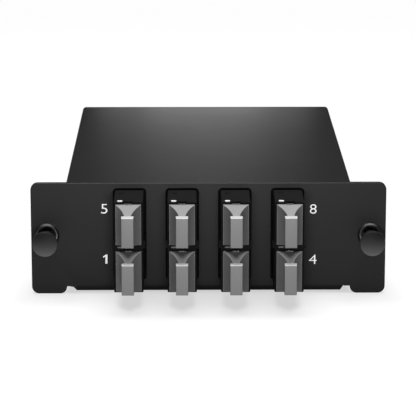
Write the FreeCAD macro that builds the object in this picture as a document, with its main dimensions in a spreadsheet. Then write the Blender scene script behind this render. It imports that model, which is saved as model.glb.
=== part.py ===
import FreeCAD
import Part
import Sketcher
import math
import os
import re

# Rack cassette for multi-fibre push-on connectors. A folded sheet chassis carries
# eight couplers in its front panel and four in its rear wall, each with a dust cap.
# Inside, a plug sits in every coupler, and eight fibre leads join front to rear.
# X runs along the panel, Y from front to rear and Z up. The origin lies under the
# middle of the case, at the height of the feet of the panel's ears. Millimetres.

SIZES = (
    ("panel_width", 96.0, "front panel, end to end"),
    ("panel_height", 30.8, "front panel, foot of the ears to top edge"),
    ("panel_corner", 2.0, "corner radius of the front panel"),
    ("case_depth", 109.0, "front of the panel to back of the rear wall"),
    ("ear_width", 9.35, "ear, from the side of the case to the end of the panel"),
    ("ear_foot", 9.5, "ear below the base, from the notch to the end of the panel"),
    ("ear_drop", 0.5, "ears below the base"),
    ("ear_corner", 1.8, "inner bottom corner of an ear"),
    ("sheet", 1.5, "thickness of the folded chassis"),
    ("bend_inside", 0.3, "inside radius of a bend, chassis and cover"),
    ("relief_height", 1.5, "bend relief above the underside of the base"),
    ("relief_chamfer", 0.9, "cut-off corner of the bend relief"),
    ("relief_reach", 6.5, "side flange starts this far behind the panel"),
    ("side_flange", 8.0, "height of the chassis side flanges"),
    ("cover_sheet", 0.8, "thickness of the cover"),
    ("cover_drop", 0.3, "cover below the panel's top edge"),
    ("cover_gap", 0.1, "gap between the cover and what it fits over"),
    ("cover_foot", 1.5, "lower edge of the cover above the base's underside"),
    ("rear_wall_gap", 0.3, "gap between the rear wall and the cover's top"),
    ("port_margin", 1.57, "panel above the slots"),
    ("port_floor", 3.87, "feet of the ears to the slots"),
    ("port_gap", 0.33, "gap between a slot and its couplers, above and below"),
    ("row_gap", 0.7, "gap between the two couplers of a slot"),
    ("column_pitch", 14.2, "port columns, centre to centre"),
    ("slot_side", 0.45, "gap between a slot and its couplers, left and right"),
    ("slot_corner", 0.9, "corner radius of a port slot"),
    ("coupler_width", 7.8, "coupler sleeve, across"),
    ("coupler_wall", 0.85, "coupler sleeve, top and bottom wall"),
    ("coupler_cheek", 0.75, "coupler sleeve, side wall"),
    ("coupler_edge", 0.3, "rounded long edge of a coupler"),
    ("coupler_front", 14.0, "coupler in front of the panel"),
    ("coupler_back", 13.0, "coupler behind the sheet"),
    ("collar_lip", 1.05, "collar past the slot, left and right"),
    ("collar_rise", 0.2, "collar proud of the sleeve, above and below"),
    ("collar_depth", 1.5, "collar, front to back"),
    ("snap_gap", 0.05, "play between coupler and sheet"),
    ("snap_hold", 0.1, "snap wedge past the slot"),
    ("snap_length", 2.5, "snap wedge, front to back"),
    ("snap_height", 4.0, "snap wedge, high"),
    ("web", 2.0, "wall between the two sockets of a coupler"),
    ("mouth_wall", 0.3, "wall of a coupler at its mouth, left and right"),
    ("mouth_lintel", 0.4, "wall of a coupler at its mouth, top"),
    ("mouth_sill", 1.1, "wall of a coupler at its mouth, bottom"),
    ("mouth_depth", 0.8, "recess round the socket at the mouth, deep"),
    ("spacer_gap", 0.02, "gap above and below the spacer between stacked couplers"),
    ("spacer_depth", 6.0, "spacer, front to back"),
    ("keyway_width", 2.1, "keyway at the mouth, across"),
    ("keyway_length", 1.6, "keyway at the mouth, front to back"),
    ("plug_fit", 0.1, "gap round whatever sits in a socket"),
    ("cap_side", 0.525, "dust cap plate inside its coupler's outline, left and right"),
    ("cap_top", 0.7, "dust cap plate below its coupler's top"),
    ("cap_foot", 0.45, "dust cap plate above its coupler's underside"),
    ("cap_rim", 0.1, "plate past the wide end of the flare, left and right"),
    ("cap_plate_depth", 0.7, "dust cap plate, front to back"),
    ("cap_stopper", 8.0, "dust cap in its socket"),
    ("cap_wall", 0.9, "wall of the hollow stopper"),
    ("cap_flare", 7.2, "flare between plate and grip"),
    ("cap_flare_radius", 18.0, "radius of the hollow sides of the flare"),
    ("cap_neck_width", 1.8, "narrow end of the flare, across"),
    ("cap_grip_width", 3.2, "grip, across"),
    ("cap_grip_height", 8.1, "grip, high"),
    ("cap_grip_depth", 2.3, "grip, front to back"),
    ("cap_edge", 0.2, "rounded edges of the grip"),
    ("cap_key", 0.25, "key on top of the plate, high"),
    ("cap_play", 0.05, "gap between cap plate and coupler mouth"),
    ("latch_inset", 4.3, "latch centre from the end of the panel"),
    ("latch_height", 16.4, "latch centre above the feet"),
    ("latch_travel", 5.0, "travel of the plunger from open to shut"),
    ("grommet_head", 1.2, "latch grommet head, front to back"),
    ("grommet_lip", 0.25, "flat ring round the grommet's mouth"),
    ("grommet_bevel", 0.45, "bevel of the grommet head"),
    ("mouth_fit", 0.15, "gap between the knob's taper and the grommet's mouth, latch shut"),
    ("barrel_radius", 2.4, "latch barrel behind the panel"),
    ("barrel_length", 6.5, "latch barrel behind the panel's rear face"),
    ("barrel_slit", 0.6, "slits that split the barrel's end into legs"),
    ("barrel_legs", 2.8, "legs of the barrel, front to back"),
    ("seat_step", 0.2, "grommet inside the panel, more than the barrel"),
    ("seat_fit", 0.02, "gap round the grommet in the panel"),
    ("stem_radius", 1.4, "plunger stem"),
    ("stem_fit", 0.08, "gap round the stem in the grommet"),
    ("stem_inside", 4.0, "stem behind the panel's front face, latch open"),
    ("stem_outside", 1.0, "stem in sight in front of the grommet, latch open"),
    ("knob_radius", 3.4, "plunger knob"),
    ("knob_taper", 7.1, "taper behind the knob"),
    ("knob_rim", 0.9, "straight rim of the knob"),
    ("knob_edge", 0.3, "rounded edge of the knob's face"),
    ("knob_dome", 0.4, "height of the knob's domed face"),
    ("screw_radius", 1.0, "cover screw shank"),
    ("screw_head_radius", 1.75, "cover screw countersunk head"),
    ("screw_length", 3.4, "cover screw, overall"),
    ("screw_slot", 0.5, "cross recess, width of an arm"),
    ("screw_slot_depth", 0.45, "cross recess, deep"),
    ("screw_height", 5.4, "cover screws above the feet"),
    ("screw_front", 20.0, "front cover screw behind the panel's front"),
    ("screw_rear", 16.0, "rear cover screw in front of the case's back"),
    ("screw_fit", 0.02, "gap round a screw"),
    ("plug_nose", 9.5, "inner plug inside its socket"),
    ("plug_inset", 0.25, "inner plug inside the outline of its coupler"),
    ("plug_body_depth", 9.0, "inner plug outside its socket, front to back"),
    ("plug_stand_off", 0.3, "gap between plug body and coupler"),
    ("plug_edge", 0.6, "rounded long edge of a plug"),
    ("ferrule_width", 2.5, "ferrule, across"),
    ("ferrule_height", 6.4, "ferrule, high"),
    ("ferrule_depth", 8.0, "ferrule, front to back"),
    ("ferrule_proud", 3.0, "ferrule in front of the plug's nose"),
    ("window_gap", 0.35, "gap round a ferrule in the window between the sockets"),
    ("boot_length", 11.0, "strain relief boot"),
    ("boot_wall", 0.4, "wall of a boot at its narrow end"),
    ("boot_flare", 1.0, "wide end of a boot, more than the narrow end"),
    ("lead_radius", 1.0, "fibre lead"),
    ("lead_gap", 0.3, "gap between the two leads of a rear boot"),
    ("lead_straight", 3.0, "straight run of a lead at each boot"),
)
COLUMNS = 4
TOUCH = 0.001

doc = FreeCAD.newDocument("fibre_cassette")
sheet = doc.addObject("Spreadsheet::Sheet", "Sizes")
for row, (alias, value, note) in enumerate(SIZES, start=1):
    sheet.set(f"A{row}", note)
    sheet.set(f"B{row}", str(value))
    sheet.setAlias(f"B{row}", alias)
doc.recompute()

ALIASES = {alias for alias, _, _ in SIZES}
WORD = re.compile(r"[a-z_]+")
TURNED = FreeCAD.Rotation(FreeCAD.Vector(0, 0, 1), 180)
ALONG_Y = FreeCAD.Rotation(FreeCAD.Vector(1, 0, 0), -90)
ALONG_X = FreeCAD.Rotation(FreeCAD.Vector(0, 1, 0), 90)

# Sizes and places that follow from others, each an expression on the sheet.
PANEL_Y = "(-case_depth / 2)"
REAR_Y = "(case_depth / 2)"
CASE_X = "(panel_width / 2 - ear_width)"
EAR_X = "(panel_width / 2 - ear_foot)"
LATCH_X = "(panel_width / 2 - latch_inset)"
COVER_TOP = "(panel_height - cover_drop)"
COVER_UNDER = f"({COVER_TOP} - cover_sheet)"
COVER_BEND = "(bend_inside + cover_sheet)"
FLANGE_X = f"({CASE_X} - cover_sheet - cover_gap)"
BEND = "(bend_inside + sheet)"
BEND_X = f"({FLANGE_X} - {BEND})"
BEND_TOP = f"(ear_drop + {BEND})"
BASE_TOP = "(ear_drop + sheet)"
RELIEF_Z = "(ear_drop + relief_height)"
SCREW_REAR_Y = "(case_depth - screw_rear)"
SINK = "(screw_head_radius - screw_radius)"

ROWS_HEIGHT = "(panel_height - port_margin - port_floor - 2 * port_gap)"
COUPLER_HEIGHT = f"(({ROWS_HEIGHT} - row_gap) / 2)"
ROW_PITCH = f"({COUPLER_HEIGHT} + row_gap)"
MID_ROW_Z = f"(port_floor + port_gap + {ROWS_HEIGHT} / 2)"
TOP_ROW_Z = f"({MID_ROW_Z} + {ROW_PITCH} / 2)"
LOW_ROW_Z = f"({MID_ROW_Z} - {ROW_PITCH} / 2)"
SLOT_WIDTH = "(coupler_width + 2 * slot_side)"
SOCKET_WIDTH = "(coupler_width - 2 * coupler_cheek)"
SOCKET_HEIGHT = f"({COUPLER_HEIGHT} - 2 * coupler_wall)"
NOSE_WIDTH = f"({SOCKET_WIDTH} - 2 * plug_fit)"
NOSE_HEIGHT = f"({SOCKET_HEIGHT} - 2 * plug_fit)"
COUPLER_END = "(sheet + coupler_back)"
WEB_Y = "(sheet / 2 - web / 2)"

PLATE_WIDTH = "(coupler_width - 2 * cap_side)"
PLATE_TOP = f"({COUPLER_HEIGHT} / 2 - cap_top)"
PLATE_FOOT = f"(cap_foot - {COUPLER_HEIGHT} / 2)"
CAP_BACK = "(-coupler_front - cap_play)"
PLATE_Y = f"({CAP_BACK} - cap_plate_depth)"
NECK_Y = f"({PLATE_Y} - cap_flare)"
GRIP_Y = f"({NECK_Y} - cap_grip_depth)"

BODY_Y = f"({COUPLER_END} + plug_stand_off)"
PLUG_END = f"({BODY_Y} + plug_body_depth)"
BOOT_END = f"({PLUG_END} + boot_length)"
BOOT_TIP = "(lead_radius + boot_wall)"
TWIN_BOOT_TIP = "(2 * lead_radius + lead_gap / 2 + boot_wall)"
LEAD_SPREAD = "(2 * lead_radius + lead_gap)"

BORE = "(stem_radius + stem_fit)"
SLOPE = "((knob_radius - stem_radius) / knob_taper)"
MOUTH = f"(stem_radius + mouth_fit + {SLOPE} * (latch_travel - stem_outside))"
GROMMET_FLAT = f"({MOUTH} + grommet_lip)"
GROMMET_RADIUS = f"({GROMMET_FLAT} + grommet_bevel)"
SEAT_RADIUS = "(barrel_radius + seat_step)"
BARREL_END = "(sheet + barrel_length)"


def bound(text):
    """An expression in which every size's name points at its cell."""
    return WORD.sub(lambda m: f"Sizes.{m[0]}" if m[0] in ALIASES else m[0], text)


def number(text):
    """What an expression on the sheet comes to now."""
    return float(sheet.evalExpression(bound(text)))


def new_body(label, place=("0", "0", "0"), turn=None):
    """A sub-part of its own, with a placement bound to the sheet."""
    body = doc.addObject("PartDesign::Body", label)
    body.Label = label
    if turn is not None:
        body.Placement = FreeCAD.Placement(FreeCAD.Vector(), turn)
    for axis, text in zip("xyz", place):
        body.setExpression(f"Placement.Base.{axis}", bound(text))
    return body


def new_sketch(body, plane, name):
    """A sketch on one of the body's own origin planes."""
    sketch = body.newObject("Sketcher::SketchObject", name)
    support = [f for f in body.Origin.OriginFeatures if f.Role == plane][0]
    sketch.AttachmentSupport = [(support, "")]
    sketch.MapMode = "FlatFace"
    return sketch


def set_size(sketch, kind, where, text):
    """Adds a constraint of that kind whose value comes from the sheet."""
    index = sketch.addConstraint(Sketcher.Constraint(kind, *where, number(text)))
    sketch.setExpression(f"Constraints[{index}]", bound(text))


def pin_down(sketch, edge, end, corner):
    """Ties one end of a sketch edge to a place on the sheet."""
    for kind, text in zip(("DistanceX", "DistanceY"), corner):
        set_size(sketch, kind, (-1, 1, edge, end), text)


def arc_between(start, end, radius, side):
    """An arc from start to end. Its centre lies to the left for side 1, right for -1."""
    chord = end - start
    middle = (start + end) / 2
    reach = math.sqrt(max(radius**2 - (chord.Length / 2) ** 2, 0.0))
    left = FreeCAD.Vector(-chord.y, chord.x, 0).normalize()
    centre = middle + left * reach * side
    top = centre + (middle - centre).normalize() * radius
    return Part.Arc(start, top, end)


def outline(sketch, corners, closed=True):
    """Lines and arcs in a row. A corner is (x, y) or, if an arc leaves it, (x, y, radius, side)."""
    points = [FreeCAD.Vector(number(c[0]), number(c[1]), 0) for c in corners]
    edges = len(corners) if closed else len(corners) - 1
    for i in range(edges):
        start, end = points[i], points[(i + 1) % len(points)]
        if len(corners[i]) == 2:
            sketch.addGeometry(Part.LineSegment(start, end))
            continue
        radius, side = corners[i][2:]
        sketch.addGeometry(arc_between(start, end, number(radius), side))
    starts = [start_end(sketch, i, points[i]) for i in range(edges)]
    for i in range(edges):
        pin_down(sketch, i, starts[i], corners[i][:2])
        if len(corners[i]) > 2:
            set_size(sketch, "Radius", (i,), corners[i][2])
        following = (i + 1) % len(corners)
        if following < edges:
            rule = ("Coincident", i, 3 - starts[i], following, starts[following])
            sketch.addConstraint(Sketcher.Constraint(*rule))
        else:
            pin_down(sketch, i, 3 - starts[i], corners[following])


def ring(sketch, radius):
    """A circle round the sketch's origin."""
    centre = FreeCAD.Vector()
    edge = sketch.addGeometry(Part.Circle(centre, FreeCAD.Vector(0, 0, 1), number(radius)))
    sketch.addConstraint(Sketcher.Constraint("Coincident", edge, 3, -1, 1))
    set_size(sketch, "Radius", (edge,), radius)


def start_end(sketch, edge, point):
    """Which end of a sketch edge, 1 or 2, lies at the point."""
    near = [(sketch.getPoint(edge, end) - point).Length for end in (1, 2)]
    return 1 if near[0] <= near[1] else 2


def pad(body, sketch, length, both_ways=False, reverse=False):
    """Pads a sketch along its normal, both ways from its plane, or against it."""
    feature = body.newObject("PartDesign::Pad", "Pad")
    feature.Profile = sketch
    feature.Midplane = both_ways
    feature.Reversed = reverse
    feature.setExpression("Length", bound(length))
    sketch.Visibility = False
    return feature


def revolve(body, sketch):
    """Turns a sketch of the XY plane about the body's own Y axis."""
    feature = body.newObject("PartDesign::Revolution", "Revolution")
    feature.Profile = sketch
    feature.ReferenceAxis = (sketch, ["V_Axis"])
    feature.Angle = 360
    return feature


def box(body, kind, size, corner):
    """An additive or subtractive box, from its lowest corner."""
    feature = body.newObject(f"PartDesign::{kind}Box", f"{kind}Box")
    for name, text in zip(("Length", "Width", "Height"), size):
        feature.setExpression(name, bound(text))
    for axis, text in zip("xyz", corner):
        feature.setExpression(f"Placement.Base.{axis}", bound(text))
    return feature


def centred_box(body, kind, size, start_y):
    """A box centred on the Y axis that starts at start_y."""
    corner = (f"-({size[0]}) / 2", start_y, f"-({size[2]}) / 2")
    return box(body, kind, size, corner)


def round_hole(body, radius, length, start, turn):
    """A drilled hole of that radius, from start along the turned axis."""
    feature = body.newObject("PartDesign::SubtractiveCylinder", "Hole")
    feature.Placement = FreeCAD.Placement(FreeCAD.Vector(), turn)
    feature.setExpression("Radius", bound(radius))
    feature.setExpression("Height", bound(length))
    for axis, text in zip("xyz", start):
        feature.setExpression(f"Placement.Base.{axis}", bound(text))
    return feature


def cone(body, kind, radii, length, start, turn):
    """An additive or subtractive cone, from its first radius to its second."""
    feature = body.newObject(f"PartDesign::{kind}Cone", f"{kind}Cone")
    feature.Placement = FreeCAD.Placement(FreeCAD.Vector(), turn)
    feature.setExpression("Radius1", bound(radii[0]))
    feature.setExpression("Radius2", bound(radii[1]))
    feature.setExpression("Height", bound(length))
    for axis, text in zip("xyz", start):
        feature.setExpression(f"Placement.Base.{axis}", bound(text))
    return feature


def fillet(body, radius, wanted):
    """Rounds the edges of the body's tip whose two ends both pass the test."""
    doc.recompute()
    base = body.Tip
    names = []
    for index, edge in enumerate(base.Shape.Edges, start=1):
        ends = [v.Point for v in edge.Vertexes]
        if len(ends) == 2 and wanted(*ends):
            names.append(f"Edge{index}")
    feature = body.newObject("PartDesign::Fillet", "Fillet")
    feature.Base = (base, names)
    feature.setExpression("Radius", bound(radius))
    return feature


def along_y(spots):
    """A test for edges that run along Y through a spot (x, z) or its mirror image."""
    places = [(abs(number(x)), number(z)) for x, z in spots]

    def passes(a, b):
        straight = math.dist((a.x, a.z), (b.x, b.z)) < TOUCH
        return straight and any(math.dist((abs(a.x), a.z), p) < TOUCH for p in places)

    return passes


def round_face(y):
    """A test for the edges of a flat face at that Y."""
    level = number(y)
    return lambda a, b: abs(a.y - level) < TOUCH and abs(b.y - level) < TOUCH


def make_chassis():
    """Front panel, base, side flanges and rear wall, folded from one sheet."""
    body = new_body("chassis", ("0", PANEL_Y, "0"))
    make_panel(body)
    make_floor(body)
    make_side_flanges(body)
    rear_height = f"{COVER_UNDER} - rear_wall_gap - {BEND_TOP}"
    rear_wall = (f"2 * {FLANGE_X}", "sheet", rear_height)
    box(body, "Additive", rear_wall, (f"-{FLANGE_X}", "case_depth - sheet", BEND_TOP))
    cut_ports(body)
    cut_chassis_holes(body)
    return body


def make_panel(body):
    """The front panel with its two ears and the relief beside the fold."""
    half = "panel_width / 2"
    right = (
        (BEND_X, BEND_TOP),
        (BEND_X, f"{RELIEF_Z} - relief_chamfer"),
        (f"{BEND_X} + relief_chamfer", RELIEF_Z),
        (EAR_X, RELIEF_Z),
        (EAR_X, "0"),
        (half, "0"),
        (half, "panel_height"),
    )
    left = tuple((f"-({x})", z) for x, z in reversed(right))
    sketch = new_sketch(body, "XZ_Plane", "panel_outline")
    outline(sketch, right + left)
    pad(body, sketch, "sheet", reverse=True)
    fillet(body, "panel_corner", along_y([(half, "0"), (half, "panel_height")]))
    fillet(body, "ear_corner", along_y([(EAR_X, "0")]))


def make_floor(body):
    """The fold under the panel, the base and the fold up to the rear wall."""
    low, top, back = "ear_drop", BASE_TOP, "case_depth"
    corners = (
        ("0", BEND_TOP, BEND, 1),
        (BEND, low),
        (f"{back} - {BEND}", low, BEND, 1),
        (back, BEND_TOP),
        (f"{back} - sheet", BEND_TOP, "bend_inside", -1),
        (f"{back} - {BEND}", top),
        (BEND, top, "bend_inside", -1),
        ("sheet", BEND_TOP),
    )
    sketch = new_sketch(body, "YZ_Plane", "floor_section")
    outline(sketch, corners)
    pad(body, sketch, f"2 * {BEND_X}", both_ways=True)


def make_side_flanges(body):
    """The two flanges that the cover's sides screw to."""
    for side in ("", "-"):
        turn = -1 if side else 1
        corners = (
            (f"{side}{BEND_X}", "ear_drop", BEND, turn),
            (f"{side}{FLANGE_X}", BEND_TOP),
            (f"{side}{FLANGE_X}", "ear_drop + side_flange"),
            (f"{side}({FLANGE_X} - sheet)", "ear_drop + side_flange"),
            (f"{side}({FLANGE_X} - sheet)", BEND_TOP, "bend_inside", -turn),
            (f"{side}{BEND_X}", BASE_TOP),
        )
        sketch = new_sketch(body, "XZ_Plane", "flange_section")
        sketch.setExpression("AttachmentOffset.Base.z", bound("-relief_reach"))
        outline(sketch, corners)
        pad(body, sketch, "case_depth - 2 * relief_reach", reverse=True)


def column_x(column):
    """Where a port column stands, as an expression."""
    return f"({column - (COLUMNS - 1) / 2} * column_pitch)"


def cut_ports(body):
    """The tall slots of the panel and the short ones of the rear wall."""
    tall = f"({ROWS_HEIGHT} + 2 * port_gap)"
    short = f"({COUPLER_HEIGHT} + 2 * port_gap)"
    short_floor = f"({MID_ROW_Z} - {short} / 2)"
    spots = []
    for column in range(COLUMNS):
        left = f"{column_x(column)} - {SLOT_WIDTH} / 2"
        for high, low, y in ((tall, "port_floor", "0"), (short, short_floor, "case_depth - sheet")):
            box(body, "Subtractive", (SLOT_WIDTH, "sheet", high), (left, y, low))
            spots += [(left, low), (left, f"{low} + {high}")]
            spots += [(f"{left} + {SLOT_WIDTH}", low), (f"{left} + {SLOT_WIDTH}", f"{low} + {high}")]
    fillet(body, "slot_corner", along_y(spots))


def cut_chassis_holes(body):
    """Holes for the latches in the ears and for the screws in the flanges."""
    for side in ("", "-"):
        start = (f"{side}{LATCH_X}", "0", "latch_height")
        round_hole(body, f"{SEAT_RADIUS} + seat_fit", "sheet", start, ALONG_Y)
    for y in ("screw_front", SCREW_REAR_Y):
        start = (f"-{FLANGE_X}", y, "screw_height")
        round_hole(body, "screw_radius + screw_fit", f"2 * {FLANGE_X}", start, ALONG_X)


def make_cover():
    """The cover: a top and two sides bent from one sheet."""
    body = new_body("top_cover", ("0", PANEL_Y, "0"))
    low = "ear_drop + cover_foot"
    inside = f"({CASE_X} - cover_sheet)"
    bend_x, bend_z = f"({CASE_X} - {COVER_BEND})", f"{COVER_TOP} - {COVER_BEND}"
    corners = (
        (CASE_X, low),
        (CASE_X, bend_z, COVER_BEND, 1),
        (bend_x, COVER_TOP),
        (f"-{bend_x}", COVER_TOP, COVER_BEND, 1),
        (f"-{CASE_X}", bend_z),
        (f"-{CASE_X}", low),
        (f"-{inside}", low),
        (f"-{inside}", bend_z, "bend_inside", -1),
        (f"-{bend_x}", COVER_UNDER),
        (bend_x, COVER_UNDER, "bend_inside", -1),
        (inside, bend_z),
        (inside, low),
    )
    sketch = new_sketch(body, "XZ_Plane", "cover_section")
    sketch.setExpression("AttachmentOffset.Base.z", bound("-(sheet + cover_gap)"))
    outline(sketch, corners)
    pad(body, sketch, "case_depth - sheet - cover_gap", reverse=True)
    for side, turn in (("", -90), ("-", 90)):
        inward = FreeCAD.Rotation(FreeCAD.Vector(0, 1, 0), turn)
        for y in ("screw_front", SCREW_REAR_Y):
            start = (f"{side}{CASE_X}", y, "screw_height")
            radii = ("screw_head_radius + screw_fit", "screw_radius + screw_fit")
            cone(body, "Subtractive", radii, SINK, start, inward)
            round_hole(body, "screw_radius + screw_fit", "cover_sheet", start, inward)
    return body


def make_screw(label, side, y):
    """A countersunk screw whose head lies flush in the cover's side."""
    place = (f"{side}{CASE_X}", f"{PANEL_Y} + {y}", "screw_height")
    turn = FreeCAD.Rotation(FreeCAD.Vector(0, 0, 1), 90 if side else -90)
    body = new_body(label, place, turn)
    corners = (
        ("0", "0"),
        ("screw_head_radius", "0"),
        ("screw_radius", f"-{SINK}"),
        ("screw_radius", "-screw_length"),
        ("0", "-screw_length"),
    )
    sketch = new_sketch(body, "XY_Plane", "screw_profile")
    outline(sketch, corners)
    revolve(body, sketch)
    arm, depth = "2 * screw_radius", "screw_slot_depth"
    for size in ((arm, depth, "screw_slot"), ("screw_slot", depth, arm)):
        centred_box(body, "Subtractive", size, f"-{depth}")
    return body


def make_screws():
    """The four cover screws, as one group of separate solids."""
    spots = [(side, y) for side in ("", "-") for y in ("screw_front", SCREW_REAR_Y)]
    singles = [make_screw(f"screw_{i}", *spot) for i, spot in enumerate(spots)]
    return grouped("cover_screws", singles)


def grouped(label, singles):
    """Like pieces under one name, each still a solid of its own."""
    group = doc.addObject("Part::Compound", label)
    group.Links = singles
    return group


def make_grommet(label, side):
    """The split grommet that snaps into an ear. Its mouth takes the knob's taper."""
    body = new_body(label, (f"{side}{LATCH_X}", PANEL_Y, "latch_height"))
    lead = "((barrel_radius - stem_radius) / 2)"
    corners = (
        (BORE, f"-grommet_head + ({MOUTH} - {BORE}) / {SLOPE}"),
        (MOUTH, "-grommet_head"),
        (GROMMET_FLAT, "-grommet_head"),
        (GROMMET_RADIUS, "-grommet_head + grommet_bevel"),
        (GROMMET_RADIUS, "0"),
        (SEAT_RADIUS, "0"),
        (SEAT_RADIUS, "sheet"),
        ("barrel_radius", "sheet"),
        ("barrel_radius", f"{BARREL_END} - {lead}"),
        (f"barrel_radius - {lead}", BARREL_END),
        (BORE, BARREL_END),
    )
    sketch = new_sketch(body, "XY_Plane", "grommet_profile")
    outline(sketch, corners)
    revolve(body, sketch)
    across = "3 * barrel_radius"
    for size in ((across, "barrel_legs", "barrel_slit"), ("barrel_slit", "barrel_legs", across)):
        centred_box(body, "Subtractive", size, f"{BARREL_END} - barrel_legs")
    return body


def make_plunger(label, side):
    """The push-pull plunger, drawn in its pulled-out, open position."""
    body = new_body(label, (f"{side}{LATCH_X}", PANEL_Y, "latch_height"))
    neck = "(-grommet_head - stem_outside)"
    rim = f"({neck} - knob_taper)"
    edge = f"({rim} - knob_rim)"
    face = f"({edge} - knob_edge)"
    flat = "(knob_radius - knob_edge)"
    dome = f"(({flat} ^ 2 + knob_dome ^ 2) / (2 * knob_dome))"
    point = "stem_radius / 2"
    corners = (
        ("0", "stem_inside"),
        ("0", f"{face} - knob_dome", dome, 1),
        (flat, face, "knob_edge", 1),
        ("knob_radius", edge),
        ("knob_radius", rim),
        ("stem_radius", neck),
        ("stem_radius", f"stem_inside - {point}"),
        (f"stem_radius - {point}", "stem_inside"),
    )
    sketch = new_sketch(body, "XY_Plane", "plunger_profile")
    outline(sketch, corners)
    revolve(body, sketch)
    return body


def make_coupler(label, place, turn=None):
    """A coupler: a sleeve with a socket at each end, a collar and two snap wedges."""
    body = new_body(label, place, turn)
    length = f"coupler_front + {COUPLER_END}"
    size = ("coupler_width", length, COUPLER_HEIGHT)
    centred_box(body, "Additive", size, "-coupler_front")
    half, top = "coupler_width / 2", f"{COUPLER_HEIGHT} / 2"
    fillet(body, "coupler_edge", along_y([(half, top), (half, f"-{top}")]))
    collar = (
        f"{SLOT_WIDTH} + 2 * collar_lip",
        "collar_depth",
        f"{COUPLER_HEIGHT} + 2 * collar_rise",
    )
    centred_box(body, "Additive", collar, "sheet + snap_gap")
    for side in ("", "-"):
        inside = f"{side}({half} - coupler_edge)"
        wedge = (
            (inside, "-snap_gap"),
            (f"{side}({SLOT_WIDTH} / 2 + snap_hold)", "-snap_gap"),
            (f"{side}{half}", "-snap_length"),
            (inside, "-snap_length"),
        )
        sketch = new_sketch(body, "XY_Plane", "snap_wedge")
        outline(sketch, wedge)
        pad(body, sketch, "snap_height", both_ways=True)
    cut_sockets(body)
    return body


def cut_sockets(body):
    """The two sockets, the window between them, the recessed mouth and its keyway."""
    front = (SOCKET_WIDTH, f"coupler_front + {WEB_Y}", SOCKET_HEIGHT)
    centred_box(body, "Subtractive", front, "-coupler_front")
    back = f"({WEB_Y} + web)"
    rear = (SOCKET_WIDTH, f"{COUPLER_END} - {back}", SOCKET_HEIGHT)
    centred_box(body, "Subtractive", rear, back)
    size = (
        "coupler_width - 2 * mouth_wall",
        "mouth_depth",
        f"{COUPLER_HEIGHT} - mouth_lintel - mouth_sill",
    )
    low = f"mouth_sill - {COUPLER_HEIGHT} / 2"
    box(body, "Subtractive", size, (f"-({size[0]}) / 2", "-coupler_front", low))
    window = ("ferrule_width + 2 * window_gap", "web", "ferrule_height + 2 * window_gap")
    centred_box(body, "Subtractive", window, WEB_Y)
    key = ("keyway_width", "keyway_length", "coupler_wall")
    corner = ("-keyway_width / 2", "-coupler_front", f"{SOCKET_HEIGHT} / 2")
    box(body, "Subtractive", key, corner)


def make_cap(label, place, turn=None):
    """A dust cap: hollow stopper, plate, flare with hollow sides and a grip."""
    body = new_body(label, place, turn)
    make_flare(body)
    plate = (PLATE_WIDTH, "cap_plate_depth", f"{PLATE_TOP} - {PLATE_FOOT}")
    box(body, "Additive", plate, (f"-{PLATE_WIDTH} / 2", PLATE_Y, PLATE_FOOT))
    centred_box(body, "Additive", (NOSE_WIDTH, "cap_stopper", NOSE_HEIGHT), CAP_BACK)
    hollow = (f"{NOSE_WIDTH} - 2 * cap_wall", "cap_stopper", f"{NOSE_HEIGHT} - 2 * cap_wall")
    centred_box(body, "Subtractive", hollow, CAP_BACK)
    width = "(keyway_width - 2 * plug_fit)"
    key = (width, "cap_plate_depth + keyway_length / 2", "cap_key")
    box(body, "Additive", key, (f"-{width} / 2", PLATE_Y, PLATE_TOP))
    return body


def make_flare(body):
    """The grip and the flare behind it, which narrows from the plate to the grip."""
    plate = f"({PLATE_WIDTH} / 2 - cap_rim)"
    neck, grip = "cap_neck_width / 2", "cap_grip_width / 2"
    corners = (
        (plate, PLATE_Y, "cap_flare_radius", 1),
        (neck, NECK_Y),
        (grip, NECK_Y),
        (grip, GRIP_Y),
        (f"-{grip}", GRIP_Y),
        (f"-{grip}", NECK_Y),
        (f"-{neck}", NECK_Y, "cap_flare_radius", 1),
        (f"-{plate}", PLATE_Y),
    )
    sketch = new_sketch(body, "XY_Plane", "flare_plan")
    outline(sketch, corners)
    pad(body, sketch, COUPLER_HEIGHT, both_ways=True)
    for side, limit in (("", PLATE_TOP), ("-", PLATE_FOOT)):
        end, over = f"{GRIP_Y} - cap_edge", f"{side}{COUPLER_HEIGHT}"
        slope = (
            (PLATE_Y, limit),
            (NECK_Y, f"{side}cap_grip_height / 2"),
            (end, f"{side}cap_grip_height / 2"),
            (end, over),
            (PLATE_Y, over),
        )
        sketch = new_sketch(body, "YZ_Plane", "flare_slope")
        outline(sketch, slope)
        cut = body.newObject("PartDesign::Pocket", "Pocket")
        cut.Profile = sketch
        cut.Midplane = True
        cut.setExpression("Length", bound(f"2 * {PLATE_WIDTH}"))
    fillet(body, "cap_edge", round_face(GRIP_Y))


def make_plug(label, place, turn=None):
    """An inner plug: a nose in the coupler's rear socket and the body behind it."""
    body = new_body(label, place, turn)
    width = "(coupler_width - 2 * plug_inset)"
    height = f"({COUPLER_HEIGHT} - 2 * plug_inset)"
    centred_box(body, "Additive", (width, "plug_body_depth", height), BODY_Y)
    half, top = f"{width} / 2", f"{height} / 2"
    fillet(body, "plug_edge", along_y([(half, top), (half, f"-{top}")]))
    nose = (NOSE_WIDTH, "plug_nose + plug_stand_off", NOSE_HEIGHT)
    centred_box(body, "Additive", nose, f"{COUPLER_END} - plug_nose")
    seat = (
        "ferrule_width + 2 * plug_fit",
        "ferrule_depth - ferrule_proud",
        "ferrule_height + 2 * plug_fit",
    )
    centred_box(body, "Subtractive", seat, f"{COUPLER_END} - plug_nose")
    return body


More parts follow.
